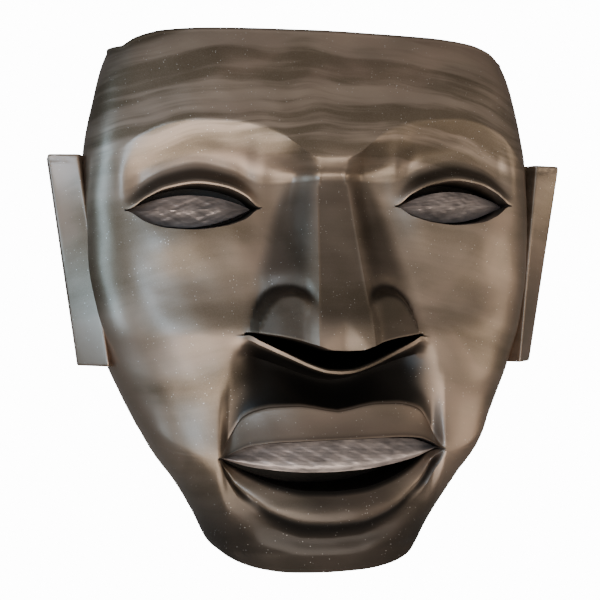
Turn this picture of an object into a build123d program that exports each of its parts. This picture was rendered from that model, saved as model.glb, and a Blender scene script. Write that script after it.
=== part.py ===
"""Carved stone face mask for a wall: a hollow polished shell with inlaid eyes and mouth, and its hanging fittings.

Millimetres, +Z up. The mask faces -Y. The origin is on the pivot of the hanging ring, on the middle plane.
Heights are given as distances down from the crown, and depths as distances out from the flat rear rim.
"""

import os
from math import cos, radians, sin

from build123d import *

# ---- driving dimensions -------------------------------------------------------------------------------
CROWN_Z = 20.0  # the flat crown above the ring's pivot
REAR_Y = 2.6  # the rear rim behind the ring's pivot
BEYOND = 30.0  # how far a cutter runs past what it cuts
REACH = 90.0  # from the rear rim to well in front of the nose

# Horizontal sections of the head: down from the crown, half width, straight side depth, depth at the middle.
FACE_SECTIONS = [
    (6, 70.0, 22, 42),
    (45, 80.5, 27, 50),
    (80, 82.0, 29, 52),
    (112, 76.5, 30, 56),
    (145, 60.5, 32, 58),
    (165, 47.5, 32, 56),
    (180, 38.5, 31, 52),
    (190, 27.0, 30, 50),
]
BROW_SECTIONS = [
    (0, 70.0, 24, 46),
    (22, 77.5, 27, 52),
    (45, 82.0, 28, 57),
    (62, 83.0, 28, 58),
]
HOLLOW_SECTIONS = [
    (22, 56, 8, 24),
    (45, 64, 9, 33),
    (80, 67, 9, 36),
    (117, 60, 8, 37),
    (147, 44, 8, 36),
    (168, 26, 6, 29),
    (176, 15, 4, 20),
]

# The brow edge: two arches that meet over the nose, as (across, down).
BROW_TEMPLE = (86.0, 57.0)
BROW_ARCH = (46.0, 32.0)
BROW_MIDDLE = (7.0, 45.5)

# Nose: down, half width of the ridge, out of the ridge, half width of the foot. The wings are the same.
NOSE_SECTIONS = [(40, 4.6, 52.0, 7.5), (53, 5.2, 53.6, 9.5), (88, 8.0, 65.0, 15.0), (120, 9.8, 74.0, 20.0)]
WING_SECTIONS = [(84, 6, 49, 13), (93, 9, 56, 25), (118, 15, 64, 32)]
NOSE_FOOT_OUT = 40.0
WING_HALF = 30.8
NOSE_BASE_DOWN = 106.5  # the wings' lower edge
NOSE_TIP_DOWN = 112.0  # the lower edge of the tip
NOSTRIL_DOWN = 119.5  # the lower edge of the undercut below the nose
NOSTRIL_OUT = 48.0

# Eyes: an almond socket with a separate almond inlay bedded on its floor.
EYE_MIDDLE = 47.5  # from the middle plane
EYE_DOWN = {-1: 64.3, 1: 61.3}  # carved by hand: the left eye is a little lower than the right
EYE_TURN = 10.0  # degrees that each socket faces outwards
SOCKET_OUT = 35.0
SOCKET_HALF = 23.0
SOCKET_RISE = 9.0
SOCKET_DROP = 7.2
INLAY_HALF = 21.6
INLAY_RISE = 5.5
INLAY_DROP = 6.3
INLAY_EDGE = 6.0  # thickness at the rim
INLAY_RIDGE = 9.5  # thickness at the middle
RIDGE_HALF = 15.0
RIDGE_RISE = 1.2

# Mouth: two lips round an almond opening, with an inlay on its floor.
MOUTH_DOWN = 148.0  # the corners
MOUTH_HALF = 42.0
UPPER_LIP_DOWN = 131.0
LOWER_LIP_DOWN = 175.5
LIP_ROOT_OUT = 38.0
LIP_OUT = 60.0
LIP_LEAN = 3.0  # how much smaller the lips' outline is at the front
OPENING_HALF = 38.0
OPENING_RISE = 5.2
OPENING_DROP = 12.8
MOUTH_FLOOR_OUT = 46.0
MOUTH_INLAY_HALF = 37.2
MOUTH_INLAY_RISE = 4.9
MOUTH_INLAY_DROP = 6.0
MOUTH_INLAY_EDGE = 8.0
MOUTH_RIDGE = 11.0  # thickness at the crease along its lower part
MOUTH_RIDGE_DOWN = 150.5
MOUTH_RIDGE_HALF = 30.0
MOUTH_RIDGE_RISE = 0.8
MOUTH_RIDGE_DROP = 2.0

# Ears: a slab each side, with a groove between it and the cheek.
EAR_TOP_DOWN = 45.0
EAR_FOOT_DOWN = 117.0
EAR_TOP_HALF = 95.0
EAR_FOOT_HALF = 84.5
EAR_ROOT_HALF = 66.0
EAR_ROOT_OUT = 38.5
EAR_EDGE_OUT = 30.0
EAR_THICK = 11.0
GROOVE_TOP_HALF = 82.0
GROOVE_FOOT_HALF = 73.5
GROOVE_WIDE = 2.6
GROOVE_FLOOR_OUT = 28.5

# Hanging fittings, in a pocket behind the crown.
POCKET_HALF = 23.0
POCKET_TOP = 15.2  # above the pivot
POCKET_FOOT = -6.0
POCKET_DEEP = 5.2
PLATE_WIDE = 40.0
PLATE_FOOT = -2.0
PLATE_TOP = 11.0
PLATE_THICK = 1.2
PLATE_CORNER_R = 3.0
WIRE_R = 1.0
RING_HALF = 8.0  # centre line of the ring
RING_TALL = 13.0
RING_CORNER_R = 3.0
RING_FOOT_R = 6.0
BARREL_LONG = 10.0
BARREL_R = 1.9
RUNNING = 0.06  # radial clearance of the wire in its barrel
SCREW_ACROSS = 14.5
SCREW_UP = 5.0  # above the pivot
SCREW_R = 1.5
SCREW_LONG = 8.0
SCREW_HOLE_R = 1.7
HEAD_R = 2.8
HEAD_THICK = 1.5
SLOT_WIDE = 0.7
SLOT_DEEP = 0.6
SLEEVE_R = 3.0
SLEEVE_LONG = 10.0
THREAD_LONG = 9.0
GLUE = 0.05  # gap round a glued sleeve
THREAD = 0.02  # gap between the thread envelopes

# Felt pads on the rear rim: name, across, down.
PAD_R = 4.5
PAD_THICK = 1.5
PADS = [
    ("upper_left", -58.0, 11.0),
    ("upper_right", 58.0, 11.0),
    ("lower_left", -17.0, 181.5),
    ("lower_right", 17.0, 181.5),
]
SIDES = {"left": -1, "right": 1}  # as seen from the front


def down(distance):
    """Height of a point that is this far below the crown."""
    return CROWN_Z - distance


def out(distance):
    """Y of a point that is this far in front of the rear rim."""
    return REAR_Y - distance


def front_plane(distance):
    """A plane that faces out of the mask, this far in front of the rear rim, with its own Y axis up."""
    return Plane(origin=(0, out(distance), 0), x_dir=(1, 0, 0), z_dir=(0, -1, 0))


def rear_plane(y):
    """A plane that faces the wall at this Y, with its own Y axis up. Its X axis runs the other way."""
    return Plane(origin=(0, y, 0), x_dir=(-1, 0, 0), z_dir=(0, 1, 0))


def eye_plane(side, height=0.0):
    """The floor of an eye socket, or a plane this far in front of it, turned a little outwards."""
    turn = radians(EYE_TURN)
    facing = Vector(side * sin(turn), -cos(turn), 0)
    floor = Vector(side * EYE_MIDDLE, out(SOCKET_OUT), down(EYE_DOWN[side]))
    return Plane(origin=floor + facing * height, x_dir=(cos(turn), side * sin(turn), 0), z_dir=facing)


def head_outline(half, side, middle):
    """One horizontal section of the head: two straight sides and an elliptical front, run past the rear rim."""
    with BuildLine() as outline:
        EllipticalCenterArc((0, out(side)), half, middle - side, 180, arc_size=180)
        Polyline((half, out(side)), (half, out(-BEYOND)), (-half, out(-BEYOND)), (-half, out(side)))
    make_face(outline.edges())


def trapezoid(ridge, ridge_out, foot):
    """One horizontal section of the nose or its wings."""
    foot_y, ridge_y = out(NOSE_FOOT_OUT), out(ridge_out)
    with BuildLine() as outline:
        Polyline((-foot, foot_y), (-ridge, ridge_y), (ridge, ridge_y), (foot, foot_y), close=True)
    make_face(outline.edges())


def almond(half, rise, drop, middle_z=0.0):
    """An almond outline: two corners joined by an upper and a lower arc."""
    left, right = (-half, middle_z), (half, middle_z)
    with BuildLine() as outline:
        ThreePointArc(left, (0, middle_z + rise), right)
        ThreePointArc(right, (0, middle_z - drop), left)
    make_face(outline.edges())


os.makedirs("parts", exist_ok=True)

# ---- carved shell -------------------------------------------------------------------------------------
with BuildPart() as brow:
    for distance, half, side, middle in BROW_SECTIONS:
        with BuildSketch(Plane.XY.offset(down(distance))):
            head_outline(half, side, middle)
    loft()
    with BuildSketch(front_plane(0)):
        with BuildLine():
            temple = (BROW_TEMPLE[0], down(BROW_TEMPLE[1]))
            arch = (BROW_ARCH[0], down(BROW_ARCH[1]))
            root = (BROW_MIDDLE[0], down(BROW_MIDDLE[1]))
            ThreePointArc(temple, arch, root)
            Line(root, (0, root[1]))
            Polyline((0, root[1]), (0, down(-BEYOND)), (temple[0], down(-BEYOND)), temple)
        make_face()
        mirror(about=Plane.YZ)
    extrude(amount=REACH, mode=Mode.INTERSECT)

with BuildPart() as nose:
    for distance, ridge, ridge_out, foot in NOSE_SECTIONS:
        with BuildSketch(Plane.XY.offset(down(distance))):
            trapezoid(ridge, ridge_out, foot)
    loft(ruled=True)
    for distance, ridge, ridge_out, foot in WING_SECTIONS:
        with BuildSketch(Plane.XY.offset(down(distance))):
            trapezoid(ridge, ridge_out, foot)
    loft(ruled=True)
    with BuildSketch(front_plane(0)):
        with BuildLine():
            Polyline(
                (-WING_HALF - 5, down(NOSE_BASE_DOWN)),
                (-WING_HALF, down(NOSE_BASE_DOWN)),
                (0, down(NOSE_TIP_DOWN)),
                (WING_HALF, down(NOSE_BASE_DOWN)),
                (WING_HALF + 5, down(NOSE_BASE_DOWN)),
                (WING_HALF + 5, down(NOSE_BASE_DOWN + BEYOND)),
                (-WING_HALF - 5, down(NOSE_BASE_DOWN + BEYOND)),
                close=True,
            )
        make_face()
    extrude(amount=REACH, mode=Mode.SUBTRACT)

with BuildPart() as lips:
    for distance, lean in ((LIP_ROOT_OUT, 0.0), (LIP_OUT, LIP_LEAN)):
        with BuildSketch(front_plane(distance)):
            rise = MOUTH_DOWN - UPPER_LIP_DOWN - lean
            drop = LOWER_LIP_DOWN - MOUTH_DOWN - lean
            almond(MOUTH_HALF - 2 * lean, rise, drop, down(MOUTH_DOWN))
    loft(ruled=True)

with BuildPart() as ears:
    with BuildSketch(front_plane(0)):
        with BuildLine():
            Polyline(
                (EAR_ROOT_HALF, down(EAR_TOP_DOWN)),
                (EAR_TOP_HALF, down(EAR_TOP_DOWN)),
                (EAR_FOOT_HALF, down(EAR_FOOT_DOWN)),
                (EAR_ROOT_HALF, down(EAR_FOOT_DOWN)),
                close=True,
            )
        make_face()
        mirror(about=Plane.YZ)
    extrude(amount=REACH)
    with BuildSketch(Plane.XY.offset(down(EAR_TOP_DOWN))):
        with BuildLine():
            Polyline(
                (EAR_ROOT_HALF, out(EAR_ROOT_OUT)),
                (EAR_TOP_HALF, out(EAR_EDGE_OUT)),
                (EAR_TOP_HALF, out(EAR_EDGE_OUT - EAR_THICK)),
                (EAR_ROOT_HALF, out(EAR_ROOT_OUT - EAR_THICK)),
                close=True,
            )
        make_face()
        mirror(about=Plane.YZ)
    extrude(amount=EAR_TOP_DOWN - EAR_FOOT_DOWN, mode=Mode.INTERSECT)

with BuildPart() as grooves:
    with BuildSketch(front_plane(GROOVE_FLOOR_OUT)):
        with BuildLine():
            Polyline(
                (GROOVE_TOP_HALF, down(EAR_TOP_DOWN - 1)),
                (GROOVE_TOP_HALF + GROOVE_WIDE, down(EAR_TOP_DOWN - 1)),
                (GROOVE_FOOT_HALF + GROOVE_WIDE, down(EAR_FOOT_DOWN + 1)),
                (GROOVE_FOOT_HALF, down(EAR_FOOT_DOWN + 1)),
                close=True,
            )
        make_face()
        mirror(about=Plane.YZ)
    extrude(amount=REACH - GROOVE_FLOOR_OUT)

with BuildPart() as hollow:
    for distance, half, side, middle in HOLLOW_SECTIONS:
        with BuildSketch(Plane.XY.offset(down(distance))):
            head_outline(half, side, middle)
    loft()

with BuildPart() as mask_shell:
    for distance, half, side, middle in FACE_SECTIONS:
        with BuildSketch(Plane.XY.offset(down(distance))):
            head_outline(half, side, middle)
    loft()
    add([brow.part, nose.part, lips.part, ears.part])
    split(bisect_by=front_plane(0), keep=Keep.TOP)
    add([grooves.part, hollow.part], mode=Mode.SUBTRACT)
    with BuildSketch(front_plane(NOSTRIL_OUT)):
        with BuildLine():
            left, right = (-WING_HALF, down(NOSE_BASE_DOWN)), (WING_HALF, down(NOSE_BASE_DOWN))
            ThreePointArc(left, (0, down(NOSTRIL_DOWN)), right)
            Polyline(right, (0, down(NOSE_TIP_DOWN)), left)
        make_face()
    extrude(amount=REACH - NOSTRIL_OUT, mode=Mode.SUBTRACT)
    with BuildSketch(front_plane(MOUTH_FLOOR_OUT)):
        almond(OPENING_HALF, OPENING_RISE, OPENING_DROP, down(MOUTH_DOWN))
    extrude(amount=REACH - MOUTH_FLOOR_OUT, mode=Mode.SUBTRACT)
    for side in SIDES.values():
        with BuildSketch(eye_plane(side)):
            almond(SOCKET_HALF, SOCKET_RISE, SOCKET_DROP)
        extrude(amount=BEYOND, mode=Mode.SUBTRACT)
    with BuildSketch(rear_plane(REAR_Y)):
        with Locations((0, (POCKET_TOP + POCKET_FOOT) / 2)):
            Rectangle(2 * POCKET_HALF, POCKET_TOP - POCKET_FOOT)
    extrude(amount=-POCKET_DEEP, mode=Mode.SUBTRACT)
    with BuildSketch(rear_plane(REAR_Y - POCKET_DEEP)):
        with Locations((-SCREW_ACROSS, SCREW_UP), (SCREW_ACROSS, SCREW_UP)):
            Circle(SLEEVE_R + GLUE)
    extrude(amount=-SLEEVE_LONG, mode=Mode.SUBTRACT)
mask_shell.part.label = "mask_shell"
export_step(mask_shell.part, f"parts/{mask_shell.part.label}.step")

# ---- inlays -------------------------------------------------------------------------------------------
for name, side in SIDES.items():
    with BuildPart() as eye_inlay:
        with BuildSketch(eye_plane(side)):
            almond(INLAY_HALF, INLAY_RISE, INLAY_DROP)
        extrude(amount=INLAY_EDGE)
        with BuildSketch(eye_plane(side, INLAY_EDGE)):
            almond(INLAY_HALF, INLAY_RISE, INLAY_DROP)
        with BuildSketch(eye_plane(side, INLAY_RIDGE)):
            almond(RIDGE_HALF, RIDGE_RISE, RIDGE_RISE)
        loft(ruled=True)
    eye_inlay.part.label = f"eye_inlay_{name}"
    export_step(eye_inlay.part, f"parts/{eye_inlay.part.label}.step")

with BuildPart() as mouth_inlay:
    with BuildSketch(front_plane(MOUTH_FLOOR_OUT)):
        almond(MOUTH_INLAY_HALF, MOUTH_INLAY_RISE, MOUTH_INLAY_DROP, down(MOUTH_DOWN))
    extrude(amount=MOUTH_INLAY_EDGE)
    with BuildSketch(front_plane(MOUTH_FLOOR_OUT + MOUTH_INLAY_EDGE)):
        almond(MOUTH_INLAY_HALF, MOUTH_INLAY_RISE, MOUTH_INLAY_DROP, down(MOUTH_DOWN))
    with BuildSketch(front_plane(MOUTH_FLOOR_OUT + MOUTH_RIDGE)):
        almond(MOUTH_RIDGE_HALF, MOUTH_RIDGE_RISE, MOUTH_RIDGE_DROP, down(MOUTH_RIDGE_DOWN))
    loft(ruled=True)
mouth_inlay.part.label = "mouth_inlay"
export_step(mouth_inlay.part, f"parts/{mouth_inlay.part.label}.step")

# ---- hanging fittings ---------------------------------------------------------------------------------
FLOOR_Y = REAR_Y - POCKET_DEEP
PLATE_Y = FLOOR_Y + PLATE_THICK
with BuildPart() as hanger_plate:
    with BuildSketch(rear_plane(FLOOR_Y)):
        with Locations((0, (PLATE_TOP + PLATE_FOOT) / 2)):
            RectangleRounded(PLATE_WIDE, PLATE_TOP - PLATE_FOOT, PLATE_CORNER_R)
    extrude(amount=PLATE_THICK)
    with BuildSketch(Plane.YZ.offset(-BARREL_LONG / 2)):
        Circle(BARREL_R)
    extrude(amount=BARREL_LONG)
    with BuildSketch(Plane.YZ.offset(-PLATE_WIDE)):
        Circle(WIRE_R + RUNNING)
    extrude(amount=2 * PLATE_WIDE, mode=Mode.SUBTRACT)
    with BuildSketch(rear_plane(FLOOR_Y)):
        with Locations((-SCREW_ACROSS, SCREW_UP), (SCREW_ACROSS, SCREW_UP)):
            Circle(SCREW_HOLE_R)
    extrude(amount=PLATE_THICK, mode=Mode.SUBTRACT)
hanger_plate.part.label = "hanger_plate"
export_step(hanger_plate.part, f"parts/{hanger_plate.part.label}.step")

with BuildPart() as hanging_ring:
    with BuildLine(rear_plane(0)):
        corners = [(RING_HALF, 0), (RING_HALF, -RING_TALL), (-RING_HALF, -RING_TALL), (-RING_HALF, 0)]
        radii = [RING_CORNER_R, RING_FOOT_R, RING_FOOT_R, RING_CORNER_R]
        FilletPolyline(*corners, radius=radii, close=True)
    with BuildSketch(Plane.YZ):
        Circle(WIRE_R)
    sweep()
hanging_ring.part.label = "hanging_ring"
export_step(hanging_ring.part, f"parts/{hanging_ring.part.label}.step")

for name, side in SIDES.items():
    with BuildPart() as anchor_sleeve:
        with BuildSketch(rear_plane(FLOOR_Y)):
            with Locations((-side * SCREW_ACROSS, SCREW_UP)):
                Circle(SLEEVE_R)
        extrude(amount=-SLEEVE_LONG)
        with BuildSketch(rear_plane(FLOOR_Y)):
            with Locations((-side * SCREW_ACROSS, SCREW_UP)):
                Circle(SCREW_R)
        extrude(amount=-THREAD_LONG, mode=Mode.SUBTRACT)
    anchor_sleeve.part.label = f"anchor_sleeve_{name}"
    export_step(anchor_sleeve.part, f"parts/{anchor_sleeve.part.label}.step")

    with BuildPart() as hanger_screw:
        with BuildSketch(rear_plane(PLATE_Y)):
            with Locations((-side * SCREW_ACROSS, SCREW_UP)):
                Circle(HEAD_R)
        extrude(amount=HEAD_THICK)
        fillet(hanger_screw.edges().filter_by(GeomType.CIRCLE).sort_by(Axis.Y)[-1], 0.6)
        with BuildSketch(rear_plane(PLATE_Y + HEAD_THICK)):
            with Locations((-side * SCREW_ACROSS, SCREW_UP)):
                Rectangle(2 * HEAD_R + 1, SLOT_WIDE)
        extrude(amount=-SLOT_DEEP, mode=Mode.SUBTRACT)
        with BuildSketch(rear_plane(PLATE_Y)):
            with Locations((-side * SCREW_ACROSS, SCREW_UP)):
                Circle(SCREW_R - THREAD)
        extrude(amount=-SCREW_LONG)
    hanger_screw.part.label = f"hanger_screw_{name}"
    export_step(hanger_screw.part, f"parts/{hanger_screw.part.label}.step")

for name, across, distance in PADS:
    with BuildPart() as felt_pad:
        with BuildSketch(rear_plane(REAR_Y)):
            with Locations((-across, down(distance))):
                Circle(PAD_R)
        extrude(amount=PAD_THICK)
    felt_pad.part.label = f"felt_pad_{name}"
    export_step(felt_pad.part, f"parts/{felt_pad.part.label}.step")
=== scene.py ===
"""Looks of a carved stone face mask: polished volcanic glass with a bronze sheen, and inlaid eyes and mouth.

Metres, +Z up. The mask faces -Y and the origin is on the pivot of its hanging ring. The carved surfaces are
worked out in millimetres as three numbers: across the face, down from the crown, and out from the rear rim.
"""

import logging
import math
from dataclasses import dataclass, field
from enum import Enum

import bmesh
import bpy
import numpy as np
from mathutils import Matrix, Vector

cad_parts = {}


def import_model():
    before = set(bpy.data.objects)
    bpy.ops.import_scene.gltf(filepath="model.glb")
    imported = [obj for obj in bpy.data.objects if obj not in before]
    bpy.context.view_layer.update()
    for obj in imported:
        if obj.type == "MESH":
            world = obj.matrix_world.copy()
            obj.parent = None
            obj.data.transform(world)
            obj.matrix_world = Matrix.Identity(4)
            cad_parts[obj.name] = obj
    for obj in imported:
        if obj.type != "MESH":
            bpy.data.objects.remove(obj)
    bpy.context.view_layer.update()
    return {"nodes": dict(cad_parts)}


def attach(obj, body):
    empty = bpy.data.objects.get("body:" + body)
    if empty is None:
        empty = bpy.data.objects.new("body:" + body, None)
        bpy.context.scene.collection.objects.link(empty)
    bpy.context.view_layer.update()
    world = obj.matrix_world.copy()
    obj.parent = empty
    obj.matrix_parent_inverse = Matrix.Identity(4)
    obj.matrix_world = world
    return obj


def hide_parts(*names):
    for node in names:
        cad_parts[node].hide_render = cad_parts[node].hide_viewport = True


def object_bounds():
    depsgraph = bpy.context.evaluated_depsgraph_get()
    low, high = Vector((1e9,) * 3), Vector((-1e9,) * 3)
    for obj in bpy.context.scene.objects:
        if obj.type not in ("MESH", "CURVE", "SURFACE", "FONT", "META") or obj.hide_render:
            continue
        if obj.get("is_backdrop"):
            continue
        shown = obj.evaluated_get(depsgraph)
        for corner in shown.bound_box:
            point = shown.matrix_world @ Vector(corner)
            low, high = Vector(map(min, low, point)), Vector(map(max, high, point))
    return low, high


LOG = logging.getLogger("stone_mask")
CROWN_Z = 20.0  # millimetres from the ring's pivot up to the crown
REAR_Y = 2.6  # millimetres from the ring's pivot back to the rear rim
SEAT = 0.05  # millimetres between an inlay's back and its floor
MILLIMETRES = 1000.0  # in a metre
QUARTER_TURN = math.pi / 2
Grid = np.ndarray  # one number, or one point, for each vertex of a grid


class Side(Enum):
    """The two sides of the face, as seen from the front."""

    LEFT = -1
    RIGHT = 1


# ---- curves and grids ---------------------------------------------------------------------------------
class Profile:
    """A smooth curve through a few (place, value) points, level past both ends.

    Each span is a cubic Hermite whose end slopes are the harmonic mean of the neighbouring chords, or zero
    where the chords change sign, so the curve never swings past its points.
    """

    def __init__(self, *points: tuple[float, float]) -> None:
        """Works out the slope at each point."""
        self.at, self.value = np.array(points, float).T
        chord = np.diff(self.value) / np.diff(self.at)
        before, after = chord[:-1], chord[1:]
        same = before * after > 0
        total = np.where(same, before + after, 1.0)
        inner = np.where(same, 2 * before * after / total, 0.0)
        self.slope = np.concatenate([[chord[0]], inner, [chord[-1]]])

    def __call__(self, place: Grid | float) -> Grid:
        """Returns the curve's value at each place."""
        place = np.clip(np.asarray(place, float), self.at[0], self.at[-1])
        k = np.clip(np.searchsorted(self.at, place, side="right") - 1, 0, len(self.at) - 2)
        width = self.at[k + 1] - self.at[k]
        t = (place - self.at[k]) / width
        rise = t * t * (3 - 2 * t)
        return (
            self.value[k] * (1 - rise)
            + self.value[k + 1] * rise
            + width * (self.slope[k] * t * (1 - t) ** 2 - self.slope[k + 1] * t * t * (1 - t))
        )


def ease(low: float, high: float, value: Grid) -> Grid:
    """Returns 0 below low, 1 above high and a smooth rise 3t^2 - 2t^3 between them. low may be above high."""
    t = np.clip((value - low) / (high - low), 0.0, 1.0)
    return t * t * (3 - 2 * t)


def mix(a: Grid, b: Grid, share: Grid) -> Grid:
    """Returns a where share is 0, b where it is 1 and a straight blend between."""
    return a + (b - a) * share


def waves(points: Grid, size: float, seed: int, layers: int = 4) -> Grid:
    """A smooth random field: a mean of sine products over a few random directions.

    Args:
        points: Places, with the coordinates along the last axis, in millimetres.
        size: The rough wavelength in millimetres.
        seed: Picks the directions and phases.
        layers: How many octaves are summed, each half the size and height of the last.

    Returns:
        Values of about -1 to 1, one per place.
    """
    rng = np.random.default_rng(seed)
    total = np.zeros(points.shape[:-1])
    for octave in range(layers):
        turn = rng.normal(size=(3, points.shape[-1]))
        turn /= np.linalg.norm(turn, axis=1, keepdims=True)
        phase = rng.uniform(0, 2 * math.pi, 3)
        field = np.sin(points @ turn.T * (2 * math.pi * 2**octave / size) + phase)
        total += (field[..., 0] * field[..., 1] + field[..., 2] * 0.6) / 2**octave
    return total / 2.2


def place(across: Grid, down: Grid, out: Grid) -> Grid:
    """Turns across, down and out in millimetres into points of the frame in metres, on the last axis."""
    return np.stack([across, REAR_Y - out, CROWN_Z - down], axis=-1) / MILLIMETRES


def grid_faces(rows: int, columns: int, first: int = 0, around: bool = False) -> Grid:
    """The four-sided faces of a grid of vertices that are numbered row by row.

    Args:
        rows: Vertices down the grid.
        columns: Vertices along each row.
        first: The number of the grid's first vertex.
        around: Whether each row closes on itself.

    Returns:
        An array of faces by four vertex numbers.
    """
    row = np.arange(rows - 1)[:, None]
    column = np.arange(columns if around else columns - 1)[None, :]
    beside = (column + 1) % columns
    above, below = row * columns, (row + 1) * columns
    ring = [above + column, above + beside, below + beside, below + column]
    return np.stack([np.broadcast_to(c, (rows - 1, column.size)) for c in ring], -1).reshape(-1, 4) + first


@dataclass
class Patch:
    """One grid of points of a piece, rows by columns by three, in metres.

    around: whether each row closes on itself.
    painted shade: how far each point is darkened towards black, from 0 to 1, where light never reached.
    """

    points: Grid
    around: bool = False
    soot: Grid | float = 0.0


def piece_from(name: str, patches: list[Patch], sharp: float, weld: float = 2e-6) -> bpy.types.Object:
    """Makes one closed mesh of several grids, joined wherever their points meet.

    Args:
        name: The piece's name.
        patches: The grids. A row whose points all coincide closes to a pole.
        sharp: The angle between faces, in degrees, above which an edge is a hard one.
        weld: Points nearer than this many metres become one.

    Returns:
        The object, at the origin, with its faces pointing outwards.
    """
    first, points, faces = 0, [], []
    for patch in patches:
        rows, columns = patch.points.shape[:2]
        points.append(patch.points.reshape(-1, 3))
        faces.append(grid_faces(rows, columns, first, patch.around))
        first += rows * columns
    mesh = bpy.data.meshes.new(name)
    mesh.from_pydata(np.concatenate(points), [], np.concatenate(faces))
    # painted shade: each point's darkening is stored as a mesh attribute for the stone's material
    soot = np.concatenate([np.broadcast_to(p.soot, p.points.shape[:2]).ravel() for p in patches])
    mesh.attributes.new("soot", "FLOAT", "POINT").data.foreach_set("value", soot.astype(np.float32))
    work = bmesh.new()
    work.from_mesh(mesh)
    bmesh.ops.remove_doubles(work, verts=work.verts, dist=weld)
    bmesh.ops.dissolve_degenerate(work, edges=work.edges, dist=weld / 2)
    bmesh.ops.recalc_face_normals(work, faces=work.faces)
    work.to_mesh(mesh)
    work.free()
    mesh.polygons.foreach_set("use_smooth", np.ones(len(mesh.polygons), bool))
    mesh.set_sharp_from_angle(angle=math.radians(sharp))
    made = bpy.data.objects.new(name, mesh)
    bpy.context.scene.collection.objects.link(made)
    return made


# ---- shader maths -------------------------------------------------------------------------------------
class Value:
    """A socket that can be used in a Python expression: each operator adds one Math node."""

    def __init__(self, shop: "Nodes", socket: bpy.types.NodeSocket) -> None:
        """Wraps one output socket."""
        self.shop, self.socket = shop, socket

    def _math(self, operation: str, first: "Value | float", second: "Value | float") -> "Value":
        """Adds a Math node and wraps its result."""
        return self.shop.add("ShaderNodeMath", {"operation": operation}, {0: first, 1: second})

    def __add__(self, other: "Value | float") -> "Value":
        """self + other."""
        return self._math("ADD", self, other)

    def __radd__(self, other: float) -> "Value":
        """other + self."""
        return self._math("ADD", other, self)

    def __sub__(self, other: "Value | float") -> "Value":
        """self - other."""
        return self._math("SUBTRACT", self, other)

    def __rsub__(self, other: float) -> "Value":
        """other - self."""
        return self._math("SUBTRACT", other, self)

    def __mul__(self, other: "Value | float") -> "Value":
        """self * other."""
        return self._math("MULTIPLY", self, other)

    def clamped(self, low: float, high: float) -> "Value":
        """0 below low, 1 above high and a smooth rise between them."""
        settings = {"interpolation_type": "SMOOTHSTEP", "clamp": True}
        values = {"Value": self, "From Min": low, "From Max": high}
        return self.shop.add("ShaderNodeMapRange", settings, values)


class Nodes:
    """The node tree of one material, or of the world if its tree is given."""

    def __init__(self, name: str, tree: bpy.types.NodeTree | None = None) -> None:
        """Clears the tree down to its output."""
        if tree is None:
            self.material = bpy.data.materials.new(name)
            self.material.use_nodes = True
        self.tree = tree or self.material.node_tree
        self.tree.nodes.clear()
        self.sheet = self.tree.nodes.new("ShaderNodeOutputWorld" if tree else "ShaderNodeOutputMaterial")

    def add(
        self, kind: str, settings: dict | None = None, values: dict | None = None, output: str | int = 0
    ) -> Value:
        """Adds a node of any kind.

        Args:
            kind: The node's type name.
            settings: Its own properties, set first. "stops" gives a colour ramp's (place, colour) pairs.
            values: A value or a link for each named or numbered input.
            output: Which output is wanted.

        Returns:
            The wrapped output socket.
        """
        node = self.tree.nodes.new(kind)
        for key, setting in (settings or {}).items():
            if key == "stops":
                ramp = node.color_ramp.elements
                while len(ramp) < len(setting):
                    ramp.new(0.5)
                for element, (at, colour) in zip(ramp, setting):
                    element.position, element.color = at, (*colour, 1.0)
            else:
                setattr(node, key, setting)
        for key, value in (values or {}).items():
            if isinstance(value, Value):
                self.tree.links.new(value.socket, node.inputs[key])
            else:
                node.inputs[key].default_value = value
        return Value(self, node.outputs[output])

    def coordinates(self, stretch: tuple[float, float, float] = (1.0, 1.0, 1.0)) -> Value:
        """Object coordinates, times a stretch along each axis."""
        raw = self.add("ShaderNodeTexCoord", output="Object")
        return self.add("ShaderNodeVectorMath", {"operation": "MULTIPLY"}, {0: raw, 1: stretch})

    def noise(
        self, vector: Value, scale: float, detail: float = 3.0, rough: float = 0.55, bend: float = 0.0
    ) -> Value:
        """Cloud noise from 0 to 1."""
        values = {"Vector": vector, "Scale": scale, "Detail": detail, "Roughness": rough, "Distortion": bend}
        return self.add("ShaderNodeTexNoise", None, values)

    def grains(self, vector: Value, scale: float) -> Value:
        """Distance to the nearest of many scattered points."""
        return self.add("ShaderNodeTexVoronoi", {"feature": "F1"}, {"Vector": vector, "Scale": scale})

    def blend(self, share: Value | float, low: Value | tuple, high: Value | tuple) -> Value:
        """A colour mix: low where share is 0, high where it is 1."""
        colours = [c if isinstance(c, Value) else (*c, 1.0) for c in (low, high)]
        values = {0: share, 6: colours[0], 7: colours[1]}
        return self.add("ShaderNodeMix", {"data_type": "RGBA", "clamp_factor": True}, values, output=2)

    def bump(self, height: Value, depth: float, under: Value | None = None) -> Value:
        """A bump of this depth in metres, on top of another one if given."""
        values = {"Height": height, "Distance": depth, "Strength": 1.0}
        if under is not None:
            values["Normal"] = under
        return self.add("ShaderNodeBump", None, values)

    def surface(self, **values: Value | float | tuple) -> bpy.types.Material:
        """Closes the material with a principled shader. Underscores in the names stand for spaces."""
        named = {key.replace("_", " "): value for key, value in values.items()}
        shader = self.add("ShaderNodeBsdfPrincipled", None, named, output="BSDF")
        self.tree.links.new(shader.socket, self.sheet.inputs["Surface"])
        return self.material


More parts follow.
